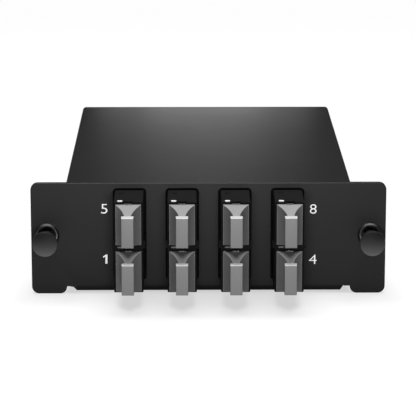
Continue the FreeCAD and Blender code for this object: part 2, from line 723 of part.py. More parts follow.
def make_ferrules(label, spots):
    """The ferrules that sit in the plugs' noses."""
    singles = []
    for index, (place, turn) in enumerate(spots):
        body = new_body(f"{label}_{index}", place, turn)
        size = ("ferrule_width", "ferrule_depth", "ferrule_height")
        centred_box(body, "Additive", size, f"{COUPLER_END} - plug_nose - ferrule_proud")
        singles.append(body)
    return grouped(label, singles)


def make_boots(label, spots, tip):
    """The strain relief boots behind the plugs, narrowing to the given radius."""
    singles = []
    for index, (place, turn) in enumerate(spots):
        body = new_body(f"{label}_{index}", place, turn)
        radii = (f"{tip} + boot_flare", tip)
        cone(body, "Additive", radii, "boot_length", ("0", PLUG_END, "0"), ALONG_Y)
        singles.append(body)
    return grouped(label, singles)


def make_lead(label, column, row_z, climb):
    """A fibre lead from a front boot to a rear boot, in a long S that climbs or drops."""
    rear_z = f"({MID_ROW_Z} - {climb} * {LEAD_SPREAD} / 2)"
    body = new_body(label, (column_x(column), "0", f"({row_z} + {rear_z}) / 2"))
    reach = f"({REAR_Y} - {BOOT_END})"
    bend = f"({reach} - lead_straight)"
    rise = f"({climb} * ({ROW_PITCH} - {LEAD_SPREAD}) / 4)"
    radius = f"(({bend} ^ 2 + {rise} ^ 2) / (2 * abs({rise})))"
    route = new_sketch(body, "YZ_Plane", "lead_route")
    corners = (
        (f"-{reach}", f"-{rise}"),
        (f"-{bend}", f"-{rise}", radius, climb),
        ("0", "0", radius, -climb),
        (bend, rise),
        (reach, rise),
    )
    outline(route, corners, closed=False)
    section = new_sketch(body, "XZ_Plane", "lead_section")
    section.setExpression("AttachmentOffset.Base.y", bound(f"-{rise}"))
    section.setExpression("AttachmentOffset.Base.z", bound(reach))
    ring(section, "lead_radius")
    pipe = body.newObject("PartDesign::AdditivePipe", "Pipe")
    pipe.Profile = section
    pipe.Spine = (route, [f"Edge{i}" for i in range(1, len(corners))])
    return body


def make_ports(row, spots, boot_tip):
    """Couplers, caps, plugs, ferrules and boots of one row of ports."""
    made = []
    for number_on_panel, spot in enumerate(spots, start=1):
        made.append(make_coupler(f"{row}_coupler_{number_on_panel}", *spot))
        made.append(make_cap(f"{row}_dust_cap_{number_on_panel}", *spot))
        made.append(make_plug(f"{row}_inner_plug_{number_on_panel}", *spot))
    made.append(make_ferrules(f"{row}_ferrules", spots))
    made.append(make_boots(f"{row}_boots", spots, boot_tip))
    return made


def make_spacers():
    """The thin strips between the stacked front couplers, flush with their mouths."""
    made = []
    for column in range(COLUMNS):
        place = (column_x(column), PANEL_Y, MID_ROW_Z)
        body = new_body(f"coupler_spacer_{column + 1}", place)
        size = (SLOT_WIDTH, "spacer_depth", "row_gap - 2 * spacer_gap")
        centred_box(body, "Additive", size, "-coupler_front")
        made.append(body)
    return made


def port_spots():
    """Where the front ports stand, the low row first, and where the rear ports stand."""
    columns = [column_x(column) for column in range(COLUMNS)]
    front = [((x, PANEL_Y, z), None) for z in (LOW_ROW_Z, TOP_ROW_Z) for x in columns]
    rear = [((x, REAR_Y, MID_ROW_Z), TURNED) for x in columns]
    return front, rear


def make_leads():
    """One fibre lead from each front plug to the rear plug of its column."""
    made = []
    for row_z, climb in ((LOW_ROW_Z, 1), (TOP_ROW_Z, -1)):
        for column in range(COLUMNS):
            made.append(make_lead(f"fibre_lead_{len(made) + 1}", column, row_z, climb))
    return made


def make_latches():
    """The two push-pull latches, each a grommet and a plunger."""
    made = []
    for name, side in (("left", "-"), ("right", "")):
        made.append(make_grommet(f"latch_grommet_{name}", side))
        made.append(make_plunger(f"latch_plunger_{name}", side))
    return made


def check_and_write(parts):
    """Stops on a failed feature or a bad shape, then writes one file a sub-part."""
    doc.recompute()
    for item in doc.Objects:
        if "Invalid" in item.State or "Error" in item.State:
            raise RuntimeError(f"{item.Label} did not recompute: {item.State}")
    os.makedirs("parts", exist_ok=True)
    for item in parts:
        shape = item.Shape
        if shape.isNull() or not shape.isValid() or not shape.Solids:
            raise RuntimeError(f"{item.Label} has no valid solid")
        shape.exportStep(f"parts/{item.Label}.step")
        centre = shape.BoundBox.Center
        print(f"{item.Label:24s} {len(shape.Solids)} {shape.Volume:10.2f} {centre}")


front_spots, rear_spots = port_spots()
parts = [make_chassis(), make_cover(), make_screws()]
parts += make_latches()
parts += make_ports("front", front_spots, BOOT_TIP)
parts += make_spacers()
parts += make_ports("rear", rear_spots, TWIN_BOOT_TIP)
parts += make_leads()
check_and_write(parts)
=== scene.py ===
import math

import bmesh
import bpy
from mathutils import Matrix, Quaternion, Vector
from mathutils.bvhtree import BVHTree


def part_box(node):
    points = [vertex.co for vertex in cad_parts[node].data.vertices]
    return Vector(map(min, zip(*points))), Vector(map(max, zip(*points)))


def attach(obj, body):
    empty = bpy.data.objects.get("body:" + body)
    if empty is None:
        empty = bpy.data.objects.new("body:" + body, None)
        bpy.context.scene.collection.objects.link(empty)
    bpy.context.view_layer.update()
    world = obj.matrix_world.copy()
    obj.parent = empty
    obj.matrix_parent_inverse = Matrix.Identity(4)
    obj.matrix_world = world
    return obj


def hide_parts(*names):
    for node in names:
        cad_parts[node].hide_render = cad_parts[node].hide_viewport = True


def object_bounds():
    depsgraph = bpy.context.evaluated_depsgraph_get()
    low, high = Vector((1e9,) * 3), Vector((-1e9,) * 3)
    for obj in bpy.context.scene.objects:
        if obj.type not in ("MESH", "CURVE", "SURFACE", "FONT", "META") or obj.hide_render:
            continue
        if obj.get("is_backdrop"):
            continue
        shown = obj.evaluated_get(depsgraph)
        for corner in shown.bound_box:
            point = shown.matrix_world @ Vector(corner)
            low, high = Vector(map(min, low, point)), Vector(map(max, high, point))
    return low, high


bl_info = {
    "name": "Fibre Cassette",
    "version": (1, 0, 0),
    "blender": (4, 5, 0),
    "location": "3D View > Sidebar > Cassette",
    "description": "Dresses the CAD model of a fibre cassette with finishes, marks and a stage",
    "category": "Object",
}

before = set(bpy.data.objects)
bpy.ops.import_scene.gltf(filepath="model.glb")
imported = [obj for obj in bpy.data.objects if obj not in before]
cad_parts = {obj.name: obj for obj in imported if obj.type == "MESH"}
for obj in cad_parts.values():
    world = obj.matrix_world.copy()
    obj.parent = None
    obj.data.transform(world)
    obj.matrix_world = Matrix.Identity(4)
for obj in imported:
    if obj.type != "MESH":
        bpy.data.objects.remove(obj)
CAD_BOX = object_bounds()
MM = 0.001
SIDES = ("left", "right")
FRONT_PORTS = range(1, 9)
UPPER_PORTS = range(5, 9)
REAR_PORTS = range(1, 5)
COLUMNS = range(1, 5)

PANEL_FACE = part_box("chassis")[0].y
LATCH_LOW, LATCH_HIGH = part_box("latch_plunger_left")

UPRIGHT = Quaternion()
FORWARD = Quaternion((1, 0, 0), math.radians(90))
MERGE = 1e-6  # corners nearer than this are one corner, in metres


def port_names(kind):
    """The CAD nodes of one kind at every port, the front row first."""
    names = [f"front_{kind}_{port}" for port in FRONT_PORTS]
    return names + [f"rear_{kind}_{port}" for port in REAR_PORTS]


def middle(node):
    """The middle of a CAD node's box."""
    low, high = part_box(node)
    return (low + high) / 2


# ---------------------------------------------------------------- settings


def length(name, description, default):
    """A size in metres."""
    return bpy.props.FloatProperty(
        name=name, description=description, default=default, min=0, unit="LENGTH", precision=5
    )


def factor(name, description, default):
    """A share from 0 to 1."""
    return bpy.props.FloatProperty(
        name=name, description=description, default=default, min=0, max=1, subtype="FACTOR"
    )


def colour(name, description, default):
    """A plain colour."""
    return bpy.props.FloatVectorProperty(
        name=name, description=description, default=default, size=3, min=0, max=1, subtype="COLOR"
    )


def power(name, description, default):
    """A lamp's power in watts."""
    return bpy.props.FloatProperty(
        name=name, description=description, default=default, min=0, unit="POWER"
    )


class CassetteFinishSettings(bpy.types.PropertyGroup):
    """Colours of the cassette's pieces, one for each of the FINISHES."""

    powder_coat: colour("Powder coat", "Chassis and cover", (0.0102, 0.0102, 0.0106))
    black_plastic: colour("Black plastic", "Couplers", (0.004, 0.004, 0.0042))
    latch_plastic: colour("Latch plastic", "Plungers", (0.008, 0.008, 0.0083))
    grommet_plastic: colour("Grommet plastic", "Grommets", (0.008, 0.008, 0.0083))
    cap_plastic: colour("Cap plastic", "Dust caps", (0.262, 0.262, 0.264))
    black_zinc: colour("Black zinc", "Cover screws", (0.06, 0.06, 0.065))
    print_white: colour("Print", "Port numbers", (0.97, 0.97, 0.97))
    mark_white: colour("Marks", "Marks on the couplers", (0.75, 0.75, 0.75))
    # The strip marks are white marks given a grey colour: painted shade from the caps above.
    mark_grey: colour("Strip marks", "Marks on the strips between couplers", (0.19, 0.19, 0.19))
    plug_plastic: colour("Plug plastic", "Plugs inside the case", (0.06, 0.42, 0.45))
    fibre_jacket: colour("Fibre jacket", "Leads inside the case", (0.08, 0.55, 0.6))
    ferrule: colour("Ferrule", "Ferrules in the plugs", (0.03, 0.03, 0.03))
    boot_rubber: colour("Boot rubber", "Strain relief boots", (0.02, 0.02, 0.02))


class CassetteEdgeSettings(bpy.types.PropertyGroup):
    """How far the edges of each kind of piece are rounded."""

    sheet: length("Sheet edges", "Rounded edges of the coated sheet", 0.2 * MM)
    cap: length("Cap edges", "Rounded edges of a dust cap", 0.12 * MM)
    coupler: length("Coupler edges", "Rounded edges of a coupler", 0.12 * MM)
    latch: length("Latch edges", "Rounded edges of a latch", 0.08 * MM)


class CassetteMarkSettings(bpy.types.PropertyGroup):
    """Sizes of the printed and moulded marks."""

    print_depth: length("Print depth", "Print proud of the panel", 0.02 * MM)
    dash_width: length("Mark width", "White mark on a coupler, across", 1.36 * MM)
    dash_length: length("Mark length", "White mark on a coupler, front to back", 1.0 * MM)
    dash_height: length("Mark height", "White mark proud of a coupler", 0.2 * MM)
    dash_offset: length("Mark offset", "White mark left of the coupler's centre", 2.2 * MM)
    strip_mark: length("Strip mark height", "Mark on the strip between two couplers", 0.4 * MM)
    nub_size: length("Nub size", "Black nub on a coupler, each way", 1.3 * MM)
    nub_height: length("Nub height", "Black nub proud of a coupler", 0.15 * MM)
    nub_offset: length("Nub offset", "Black nub left of the coupler's centre", 1.95 * MM)
    nub_setback: length("Nub setback", "Black nub behind the coupler's mouth", 10.5 * MM)
    keyway_width: length("Keyway cover width", "Cover over a keyway, across", 2.5 * MM)
    keyway_length: length("Keyway cover length", "Cover over a keyway, front to back", 1.8 * MM)
    keyway_height: length("Keyway cover height", "Cover proud of its coupler", 0.2 * MM)


class CassetteStageSettings(bpy.types.PropertyGroup):
    """Floor and light."""

    floor_radius: length("Floor radius", "Radius of the round floor", 12.0)
    floor_colour: colour("Floor", "Colour of the floor", (0.72, 0.72, 0.72))
    floor_bounce: colour("Floor bounce", "Floor as it lights the object", (0.065, 0.065, 0.065))
    floor_white: colour("Floor white", "Colour that the open floor ends at", (0.985, 0.985, 0.985))
    floor_lift: factor("Floor lift", "How far the floor's shadows are lifted", 0.6)
    floor_near: length("Floor near", "How far out the floor starts to fade to white", 0.12)
    floor_far: length("Floor far", "How far out the floor is all white", 0.45)
    floor_shine: factor("Floor in gloss", "How strongly gloss and glass show the floor", 0.35)
    sky: factor("Sky", "Brightness of the sky around", 0.037)
    top_lamp: power("Top lamp", "Power of the soft lamp overhead", 98.0)
    front_lamp: power("Front lamp", "Power of the soft lamp in front", 0.21)
    back_lamp: power("Back lamp", "Power of the low lamp behind", 0.0051)
    back_core: power("Back core", "Power of the narrow lamp in the low one's middle", 0.0016)


# ------------------------------------------------------------ node building


class Signal:
    """A node's output in a node tree. Arithmetic on it adds Math nodes."""

    def __init__(self, tree, socket=None):
        self.tree = tree
        self.socket = socket

    def node(self, kind, settings=None, inputs=None, output=0):
        """A new node: its settings first, then the values or links of its sockets."""
        made = self.tree.nodes.new(kind)
        for name, value in (settings or {}).items():
            setattr(made, name, value)
        for name, value in (inputs or {}).items():
            if isinstance(value, Signal):
                self.tree.links.new(value.socket, made.inputs[name])
            else:
                made.inputs[name].default_value = value
        return Signal(self.tree, made.outputs[output] if len(made.outputs) else None)

    def math(self, operation, first, second=0.0):
        """A Math node."""
        return self.node("ShaderNodeMath", {"operation": operation}, {0: first, 1: second})

    def __add__(self, other):
        return self.math("ADD", self, other)

    def __radd__(self, other):
        return self.math("ADD", other, self)

    def __sub__(self, other):
        return self.math("SUBTRACT", self, other)

    def __rsub__(self, other):
        return self.math("SUBTRACT", other, self)

    def __mul__(self, other):
        return self.math("MULTIPLY", self, other)

    def __rmul__(self, other):
        return self.math("MULTIPLY", other, self)

    def __pow__(self, other):
        return self.math("POWER", self, other)


def new_shader(name):
    """An empty material, and the start of its node tree."""
    material = bpy.data.materials.new(name)
    material.use_nodes = True
    material.node_tree.nodes.clear()
    return material, Signal(material.node_tree)


def rgba(tint, gain=1.0):
    """A colour socket's value."""
    return (*(min(1.0, gain * part) for part in tint), 1.0)


def blended(start, share, first, second):
    """A colour between two others."""
    settings = {"data_type": "RGBA"}
    return start.node("ShaderNodeMix", settings, {0: share, 6: first, 7: second}, output=2)


def noise(start, scale, detail, stretch=None):
    """Noise on object coordinates, about 0.5 on average."""
    place = start.node("ShaderNodeTexCoord", output="Object")
    if stretch:
        place = start.node("ShaderNodeMapping", None, {"Vector": place, "Scale": stretch})
    sockets = {"Vector": place, "Scale": scale, "Detail": detail, "Roughness": 0.55}
    return start.node("ShaderNodeTexNoise", {"noise_dimensions": "3D"}, sockets)


def attribute(start, name):
    """The piece's own attribute of that name."""
    return start.node("ShaderNodeAttribute", {"attribute_name": name}, output="Fac")


PATCHES = 60.0  # cells of the slow drift in tone, per metre
SLOW_SHARE = 0.6  # of the slow drift in the tone's unevenness; the grain has the rest


def solid_finish(name, tint, **look):
    """A finish with a fine grain, a slow drift in tone and an uneven gloss.

    look: roughness and its unevenness, metallic, specular, glow, grain (cells per
    metre) with its stretch, relief and depth, and drift, how far the tone varies.
    fade: the heights between which a paler foot fades out, and its gain; the paler foot is painted
    light, a painted reflection of the floor below. With the part flag set, only faces whose pale
    attribute is 1 fade.
    shaded and paled: the gains of the painted shade and the painted highlight, where the shade and
    pale attributes are 1.
    """
    get = look.get
    material, start = new_shader(name)
    slow = noise(start, PATCHES, 3.0)
    fine = noise(start, get("grain", 2500.0), 2.0, get("stretch"))
    drift = get("drift", 0.1)
    share = slow * SLOW_SHARE + fine * (1 - SLOW_SHARE)
    base = blended(start, share, rgba(tint, 1 - drift), rgba(tint, 1 + drift))
    # The paler foot is painted light: the colour brightens towards the foot, standing in for the
    # floor's reflection.
    if "fade" in look:
        low, high, gain = look["fade"]
        place = start.node("ShaderNodeTexCoord", output="Object")
        height = start.node("ShaderNodeSeparateXYZ", None, {"Vector": place}, output="Z")
        painted_foot_light = start.math("MAXIMUM", 1 - (height - low) * (1 / (high - low)), 0.0)
        painted_foot_light = start.math("MINIMUM", painted_foot_light**2, 1.0)
        if get("pale_part"):
            painted_foot_light = painted_foot_light * attribute(start, "pale")
        base = blended(start, painted_foot_light, base, rgba(tint, gain))
    # Painted shade where the shade attribute is set, and a painted highlight where the pale
    # attribute is set.
    if "shaded" in look:
        base = blended(start, attribute(start, "shade"), base, rgba(tint, look["shaded"]))
        base = blended(start, attribute(start, "pale"), base, rgba(tint, look["painted_highlight"]))
    roughness = get("roughness", 0.45) + (share - 0.5) * get("unevenness", 0.12)
    bump = start.node(
        "ShaderNodeBump",
        None,
        {"Strength": get("relief", 0.25), "Distance": get("depth", 0.03 * MM), "Height": fine},
    )
    sockets = {
        "Base Color": base,
        "Roughness": roughness,
        "Metallic": get("metallic", 0.0),
        "Specular IOR Level": get("specular", 0.5),
        "Emission Color": rgba(tint),
        "Emission Strength": get("glow", 0.0),
        "Normal": bump,
    }
    shader = start.node("ShaderNodeBsdfPrincipled", None, sockets)
    start.node("ShaderNodeOutputMaterial", None, {"Surface": shader})
    return material


FINISHES = {
    "powder_coat": dict(
        roughness=0.38, unevenness=0.08, grain=2600.0, relief=0.3, drift=0.12, specular=0.33
    ),
    "black_plastic": dict(
        roughness=0.6, unevenness=0.1, grain=3200.0, relief=0.2, drift=0.12, specular=0.12
    ),
    # The plungers are painted paler towards their foot: a painted reflection of the floor.
    "latch_plastic": dict(
        roughness=0.55, unevenness=0.06, grain=3200.0, relief=0.1, specular=0.15,
        fade=(LATCH_LOW.z, LATCH_HIGH.z - 0.5 * MM, 29.0),
    ),
    # The grommets' mouths are painted paler towards the foot: painted light inside the shaded
    # mouths.
    "grommet_plastic": dict(
        roughness=0.4, unevenness=0.06, grain=3200.0, relief=0.1, specular=0.5,
        fade=(LATCH_LOW.z + 2 * MM, LATCH_HIGH.z + 1.2 * MM, 70.0), pale_part=True,
    ),
    # The caps take painted shade on their keys and on the sides behind their grips, and a painted
    # highlight on the tops of their grips.
    "cap_plastic": dict(
        roughness=0.36, unevenness=0.1, grain=3000.0, depth=0.03 * MM, relief=0.25, drift=0.035,
        specular=0.7, shaded=0.3, painted_highlight=2.0,
    ),
    "black_zinc": dict(
        roughness=0.34, unevenness=0.15, metallic=0.85, grain=4000.0, relief=0.15, drift=0.2
    ),
    # The print glows a little: painted light that makes it brighter than its white.
    "print_white": dict(
        roughness=0.5, grain=6000.0, depth=0.01 * MM, relief=0.2, drift=0.04, glow=0.36
    ),
    "mark_white": dict(roughness=0.5, grain=6000.0, depth=0.01 * MM, relief=0.15, drift=0.04),
    "mark_grey": dict(roughness=0.5, grain=6000.0, depth=0.01 * MM, relief=0.15, drift=0.04),
    "plug_plastic": dict(roughness=0.36, grain=3000.0, relief=0.2, drift=0.06),
    "fibre_jacket": dict(
        roughness=0.42, grain=2000.0, relief=0.2, drift=0.06, stretch=(1.0, 0.2, 1.0)
    ),
    "ferrule": dict(
        roughness=0.16, unevenness=0.06, grain=5000.0, depth=0.01 * MM, relief=0.08, drift=0.1
    ),
    "boot_rubber": dict(
        roughness=0.65, unevenness=0.1, grain=2200.0, relief=0.3, drift=0.15, specular=0.35
    ),
}


def finish(name):
    """The named finish in its set colour, made the first time it is asked for."""
    title = name.replace("_", " ").capitalize()
    if title in bpy.data.materials:
        return bpy.data.materials[title]
    tint = getattr(bpy.context.scene.cassette_finish, name)
    return solid_finish(title, tint, **FINISHES[name])


# ------------------------------------------------------------ mesh building


def placed(name, mesh):
    """A new object for a mesh that already holds its place."""
    mesh.name = name
    made = bpy.data.objects.new(name, mesh)
    bpy.context.scene.collection.objects.link(made)
    return made


def evaluated(source, name):
    """A plain object with what a source's modifiers make; the source is removed."""
    graph = bpy.context.evaluated_depsgraph_get()
    mesh = bpy.data.meshes.new_from_object(source.evaluated_get(graph), depsgraph=graph)
    made = placed(name, mesh)
    old = source.data
    bpy.data.objects.remove(source)
    if old.users == 0 and isinstance(old, bpy.types.Mesh):
        bpy.data.meshes.remove(old)
    return made


FLAT = math.radians(0.5)  # faces that turn less than this are one face
SHARP = math.radians(30)  # edges that turn more than this are rounded
DEEP_ENOUGH = 1.5  # the faces beside a rounded edge are this deep, in widths
STRAY = 0.34  # a corner further off the old surface is a stray, in widths
SPARED_WIDTHS = 2.0  # edges stay sharp within this many widths of a stray corner,
SPARED_OFF = 1.1  # and this many times its distance from the old surface
TRIES = 8


def joined_copy(node):
    """A copy of a CAD node's mesh, its loose triangles joined into whole faces."""
    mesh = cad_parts[node].data.copy()
    if "custom_normal" in mesh.attributes:
        mesh.attributes.remove(mesh.attributes["custom_normal"])
    shape = bmesh.new()
    shape.from_mesh(mesh)
    bmesh.ops.remove_doubles(shape, verts=shape.verts, dist=MERGE)
    bmesh.ops.dissolve_limit(shape, angle_limit=FLAT, verts=shape.verts, edges=shape.edges)
    shape.to_mesh(mesh)
    shape.free()
    mesh.materials.clear()
    return mesh


def reach(face, edge):
    """How far a face runs from one of its edges."""
    start = edge.verts[0].co
    way = (edge.verts[1].co - start).normalized()
    spans = (vertex.co - start for vertex in face.verts)
    return max((span - span.dot(way) * way).length for span in spans)


def distance_to(edge, spot):
    """How far a spot is from an edge."""
    start, end = (vertex.co for vertex in edge.verts)
    span = end - start
    share = (spot - start).dot(span) / span.length_squared
    return (start + span * min(1.0, max(0.0, share)) - spot).length


def sorted_edges(mesh, width, steps):
    """The sharp edges that can be rounded without a fold or a spike, and the others.

    The rounding is tried on a copy. Where a corner of the result stands off the
    old surface, the edges beside it stay sharp, and the rest is tried again.
    """
    shape = bmesh.new()
    shape.from_mesh(mesh)
    shape.edges.ensure_lookup_table()
    surface = BVHTree.FromBMesh(shape)
    steep = {edge.index for edge in shape.edges if edge.calc_face_angle(0.0) > SHARP}
    chosen = set()
    for index in steep:
        edge = shape.edges[index]
        if all(reach(face, edge) > DEEP_ENOUGH * width for face in edge.link_faces):
            chosen.add(index)
    for _ in range(TRIES):
        trial = shape.copy()
        trial.edges.ensure_lookup_table()
        edges = [trial.edges[index] for index in chosen]
        ends = list({vertex for edge in edges for vertex in edge.verts})
        bmesh.ops.bevel(
            trial, geom=edges + ends, offset=width, segments=steps, profile=0.5, affect="EDGES"
        )
        stray = []
        for vertex in trial.verts:
            off = surface.find_nearest(vertex.co)[3]
            if off > STRAY * width:
                spared = SPARED_WIDTHS * width + SPARED_OFF * off
                stray.append((vertex.co.copy(), spared))
        trial.free()
        if not stray:
            break
        chosen -= {
            index
            for index in chosen
            if any(distance_to(shape.edges[index], spot) < spared for spot, spared in stray)
        }
    shape.free()
    return chosen, steep - chosen


def softened(node, name, material, edge, steps):
    """A copy of a CAD node with its sharp edges rounded."""
    mesh = joined_copy(node)
    mesh.materials.append(material)
    for face in mesh.polygons:
        face.use_smooth = True
    weights = mesh.attributes.new("bevel_weight_edge", "FLOAT", "EDGE")
    creases = mesh.attributes.new("sharp_edge", "BOOLEAN", "EDGE")
    to_round, to_keep = sorted_edges(mesh, edge, steps)
    for index in to_round:
        weights.data[index].value = 1.0
    for index in to_keep:
        creases.data[index].value = True
    source = placed(name + "_source", mesh)
    rounding = source.modifiers.new("Rounded edges", "BEVEL")
    rounding.width = edge
    rounding.segments = steps
    rounding.limit_method = "WEIGHT"
    rounding.harden_normals = True
    rounding.use_clamp_overlap = False
    rounding.loop_slide = False
    made = evaluated(source, name)
    made.data.attributes.remove(made.data.attributes["bevel_weight_edge"])
    return made


def dress(piece, body, slot, *nodes):
    """The piece moves with a body and stands for CAD nodes. The slot is not used."""
    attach(piece, body)
    if nodes:
        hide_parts(*nodes)
    return piece


def soft_piece(node, name, material, edge, body, slot, steps=2):
    """A softened copy of a CAD node, in that node's place."""
    made = softened(node, name, material, edge, steps)
    return dress(made, body, slot, node)


# --------------------------------------------------------- geometry node trees


def new_tree(name, sizes):
    """A Geometry Nodes tree that takes points and the named sizes."""
    tree = bpy.data.node_groups.new(name, "GeometryNodeTree")
    tree.interface.new_socket("Points", in_out="INPUT", socket_type="NodeSocketGeometry")
    for label, value in sizes.items():
        socket = tree.interface.new_socket(label, in_out="INPUT", socket_type="NodeSocketFloat")
        socket.subtype = "DISTANCE"
        socket.default_value = value
    tree.interface.new_socket("Geometry", in_out="OUTPUT", socket_type="NodeSocketGeometry")
    return tree, Signal(tree)


def tree_inputs(start):
    """The tree's own inputs, by name."""
    made = start.tree.nodes.new("NodeGroupInput")
    return {socket.name: Signal(start.tree, socket) for socket in made.outputs if socket.name}


def joined(start, *shapes):
    """Several shapes as one."""
    made = start.tree.nodes.new("GeometryNodeJoinGeometry")
    for shape in shapes:
        start.tree.links.new(shape.socket, made.inputs[0])
    return Signal(start.tree, made.outputs[0])


def end_tree(start, inputs, shape, material):
    """Puts the shape on every point, turned as the point is, as real geometry."""
    turn = start.node(
        "GeometryNodeInputNamedAttribute", {"data_type": "QUATERNION"}, {"Name": "turn"}
    )
    spread = start.node(
        "GeometryNodeInstanceOnPoints",
        None,
        {"Points": inputs["Points"], "Instance": shape, "Rotation": turn},
    )
    real = start.node("GeometryNodeRealizeInstances", None, {"Geometry": spread})
    coated = start.node(
        "GeometryNodeSetMaterial", None, {"Geometry": real, "Material": material}
    )
    start.node("NodeGroupOutput", None, {"Geometry": coated})


def grown(name, tree, spots, sizes):
    """The mesh a tree grows on the given spots, each a place and a turn."""
    mesh = bpy.data.meshes.new(name + "_points")
    mesh.from_pydata([tuple(place) for place, turn in spots], [], [])
    turns = mesh.attributes.new("turn", "QUATERNION", "POINT")
    for index, (place, turn) in enumerate(spots):
        turns.data[index].value = tuple(turn)
    source = placed(name + "_points", mesh)
    maker = source.modifiers.new("Maker", "NODES")
    maker.node_group = tree
    for item in tree.interface.items_tree:
        if item.in_out == "INPUT" and item.name in sizes:
            maker[item.identifier] = sizes[item.name]
    return evaluated(source, name)


MARK_CORNER = 0.35  # corner radius of a mark, as a share of its length


def mark_tree(name, material):
    """A raised mark with round corners: Width across, Length along, Height proud."""
    tree, start = new_tree(name, {"Width": 1.4 * MM, "Length": 0.5 * MM, "Height": 0.05 * MM})
    inputs = tree_inputs(start)
    outline = start.node(
        "GeometryNodeCurvePrimitiveQuadrilateral",
        {"mode": "RECTANGLE"},
        {"Width": inputs["Width"], "Height": inputs["Length"]},
    )
    rounded = start.node(
        "GeometryNodeFilletCurve",
        {"mode": "POLY"},
        {"Curve": outline, "Radius": inputs["Length"] * MARK_CORNER, "Count": 6},
    )
    filled = start.node("GeometryNodeFillCurve", {"mode": "NGONS"}, {"Curve": rounded})
    raised = start.node(
        "GeometryNodeExtrudeMesh", None, {"Mesh": filled, "Offset Scale": inputs["Height"]}
    )
    under = start.node("GeometryNodeFlipFaces", None, {"Mesh": filled})
    both = joined(start, raised, under)
    closed = start.node(
        "GeometryNodeMergeByDistance", None, {"Geometry": both, "Distance": MERGE}
    )
    end_tree(start, inputs, closed, material)
    return tree


SEAL_SIDES = 64


def seal_tree(material):
    """A flat ring that closes the gap round a plunger's stem."""
    sizes = {"Radius": 1.51 * MM, "Wall": 0.19 * MM, "Length": 0.2 * MM}
    tree, start = new_tree("Stem seal", sizes)
    inputs = tree_inputs(start)
    path = start.node(
        "GeometryNodeCurvePrimitiveCircle",
        None,
        {"Resolution": SEAL_SIDES, "Radius": inputs["Radius"]},
    )
    profile = start.node(
        "GeometryNodeCurvePrimitiveQuadrilateral",
        {"mode": "RECTANGLE"},
        {"Width": inputs["Wall"], "Height": inputs["Length"]},
    )
    ring = start.node("GeometryNodeCurveToMesh", None, {"Curve": path, "Profile Curve": profile})
    end_tree(start, inputs, ring, material)
    return tree


SCREW_HEAD = 1.75 * MM
HEAD_SIDES = 48
SHANK_SIDES = 32
SHANK_SHARE = 0.98  # of the narrow end of the head, in the shank's radius


def screw_tree(material):
    """A countersunk screw along -Z with a cross recess in its head."""
    sizes = {
        "Head": SCREW_HEAD,
        "Shank": 1.0 * MM,
        "Sink": 0.75 * MM,
        "Length": 3.4 * MM,
        "Arm": 0.5 * MM,
    }
    tree, start = new_tree("Cover screw", sizes)
    inputs = tree_inputs(start)
    head = start.node(
        "GeometryNodeMeshCone",
        {"fill_type": "NGON"},
        {
            "Vertices": HEAD_SIDES,
            "Radius Top": inputs["Head"],
            "Radius Bottom": inputs["Shank"],
            "Depth": inputs["Sink"],
        },
        output="Mesh",
    )
    drop = start.node("ShaderNodeCombineXYZ", None, {"Z": inputs["Sink"] * -1})
    head = start.node("GeometryNodeTransform", None, {"Geometry": head, "Translation": drop})
    shank_length = inputs["Length"] - inputs["Sink"] * 0.5
    shank = start.node(
        "GeometryNodeMeshCylinder",
        {"fill_type": "NGON"},
        {
            "Vertices": SHANK_SIDES,
            "Radius": inputs["Shank"] * SHANK_SHARE,
            "Depth": shank_length,
        },
        output="Mesh",
    )
    low = start.node(
        "ShaderNodeCombineXYZ", None, {"Z": shank_length * -0.5 - inputs["Sink"] * 0.5}
    )
    shank = start.node("GeometryNodeTransform", None, {"Geometry": shank, "Translation": low})
    arms = []
    for across, along in (("X", "Y"), ("Y", "X")):
        size = start.node(
            "ShaderNodeCombineXYZ",
            None,
            {across: inputs["Arm"], along: inputs["Shank"] * 2, "Z": inputs["Sink"]},
        )
        arms.append(start.node("GeometryNodeMeshCube", None, {"Size": size}, output="Mesh"))
    cut = start.tree.nodes.new("GeometryNodeMeshBoolean")
    cut.operation = "DIFFERENCE"
    start.tree.links.new(head.socket, cut.inputs["Mesh 1"])
    for arm in arms:
        start.tree.links.new(arm.socket, cut.inputs["Mesh 2"])
    both = joined(start, Signal(tree, cut.outputs["Mesh"]), shank)
    end_tree(start, inputs, both, material)
    return tree


# ------------------------------------------------------------------- pieces


class CASSETTE_OT_sheet_metal(bpy.types.Operator):
    """Coat the chassis and its cover"""

    bl_idname = "cassette.sheet_metal"
    bl_label = "Chassis and cover"

    def execute(self, context):
        edge = context.scene.cassette_edges.sheet
        coat = finish("powder_coat")
        for node, name in (("chassis", "coated_chassis"), ("top_cover", "coated_cover")):
            soft_piece(node, name, coat, edge, "case", "powder_black")
        return {"FINISHED"}


SEAL_DEPTH = 3.18 * MM  # the seals stand this far behind the panel's face
MOUTH_RADIUS = 2.75 * MM  # within it lie the faces of a grommet's mouth


def paint_mouth_light(mesh, centre):
    """Marks the faces of a grommet's open mouth, which look in at its axis, to be painted paler:
    painted light inside the mouth.
    """
    pale = mesh.attributes.new("pale", "FLOAT", "FACE")
    for face in mesh.polygons:
        out = Vector((face.center.x - centre.x, 0, face.center.z - centre.z))
        inside = out.length < MOUTH_RADIUS and face.normal.dot(out) < 0
        pale.data[face.index].value = float(inside)


